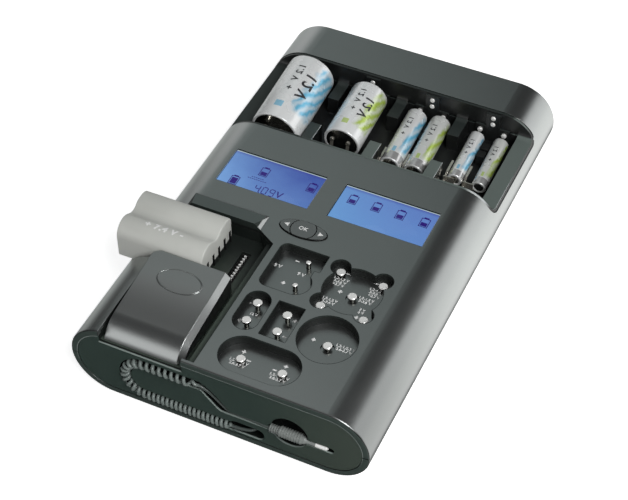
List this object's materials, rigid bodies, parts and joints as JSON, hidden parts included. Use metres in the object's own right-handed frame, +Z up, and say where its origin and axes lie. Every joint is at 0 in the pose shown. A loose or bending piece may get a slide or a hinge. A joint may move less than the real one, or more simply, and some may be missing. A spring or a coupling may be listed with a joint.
{
  "type": "multi-bay battery charger",
  "caption": "Flat battery charger with a cell bay across its back, blue displays, an oval key pad, a clamp for camera batteries, shaped test recesses with studs and a curly probe cord.",
  "frame": {"origin": "Centre of the housing's footprint, on the plane that the feet stand on", "axes": "+X to the right seen from the front, +Y to the back where the cell bay is, +Z up"},
  "size_m": [0.202, 0.3177, 0.068],
  "materials": {
    "housing": "satin, fine grain",
    "panel": "satin",
    "liner": "satin black",
    "plated_contact": "bright nickel plate",
    "contact_spring": "nickel plated spring strip",
    "blue_cell": "printed wrap, white with a blue field",
    "green_cell": "printed wrap, white with a green field",
    "display_window": "clear window",
    "display_glass": "blue backlit display",
    "circuit_board": "green solder mask",
    "board_part": "black moulded parts",
    "key": "satin",
    "soft_rubber": "matt rubber",
    "steel": "zinc plated",
    "camera_pack": "matt warm grey",
    "cord_jacket": "satin jacket",
    "probe_body": "satin moulding"
  },
  "bodies": {
    "housing": {"upper_shell": "housing", "recess_tub": "housing", "camera_tub": "housing", "lower_shell": "housing", "front_panel": "panel", "rear_panel": "panel", "bay_liner": "liner", "rear_contacts_d": "plated_contact", "rear_contacts_c": "plated_contact", "rear_contacts_aa": "plated_contact", "rear_contacts_aaa": "plated_contact", "front_contact_d": "contact_spring", "front_contact_c": "contact_spring", "front_contact_aa": "contact_spring", "front_contact_aaa": "contact_spring", "d_cell": "blue_cell", "c_cell": "green_cell", "aa_cell_left": "blue_cell", "aa_cell_right": "green_cell", "aaa_cell_left": "blue_cell", "aaa_cell_right": "green_cell", "window_left": "display_window", "window_right": "display_window", "lcd_left": "display_glass", "lcd_right": "display_glass", "display_board": "circuit_board", "key_mat": "soft_rubber", "contact_block": "liner", "contact_pins": "plated_contact", "clamp_springs": "steel", "camera_battery": "camera_pack", "studs_nine_volt": "plated_contact", "studs_lobed": "plated_contact", "studs_slot": "plated_contact", "studs_square": "plated_contact", "stud_round": "plated_contact", "studs_capsule": "plated_contact", "test_board": "circuit_board", "main_board": "circuit_board", "board_parts": "board_part", "board_screws": "steel", "dc_inlet": "liner", "rubber_feet": "soft_rubber", "case_screws": "steel", "cord_grommet": "soft_rubber", "cord_root": "cord_jacket", "cord_coil": "cord_jacket", "cord_lead": "cord_jacket", "probe_relief": "cord_jacket", "probe_grip": "probe_body", "probe_tip": "plated_contact"},
    "key_left_cap": {"key_left": "key"},
    "key_ok_cap": {"key_ok": "key"},
    "key_right_cap": {"key_right": "key"},
    "clamp": {"clamp_slider": "housing"}
  },
  "joints": [
    {"name": "key_left_press", "type": "slide", "parent": "housing", "child": "key_left_cap", "axis": [0, 0, -1], "range_m": [0, 0.0008], "stiffness_N_per_m": 600, "springref_m": -0.0005},
    {"name": "key_ok_press", "type": "slide", "parent": "housing", "child": "key_ok_cap", "axis": [0, 0, -1], "range_m": [0, 0.0008], "stiffness_N_per_m": 600, "springref_m": -0.0005},
    {"name": "key_right_press", "type": "slide", "parent": "housing", "child": "key_right_cap", "axis": [0, 0, -1], "range_m": [0, 0.0008], "stiffness_N_per_m": 600, "springref_m": -0.0005},
    {"name": "clamp_slide", "type": "slide", "parent": "housing", "child": "clamp", "axis": [0, -1, 0], "range_m": [0, 0.02], "stiffness_N_per_m": 150, "springref_m": -0.015, "deforming": ["clamp_springs"]}
  ]
}
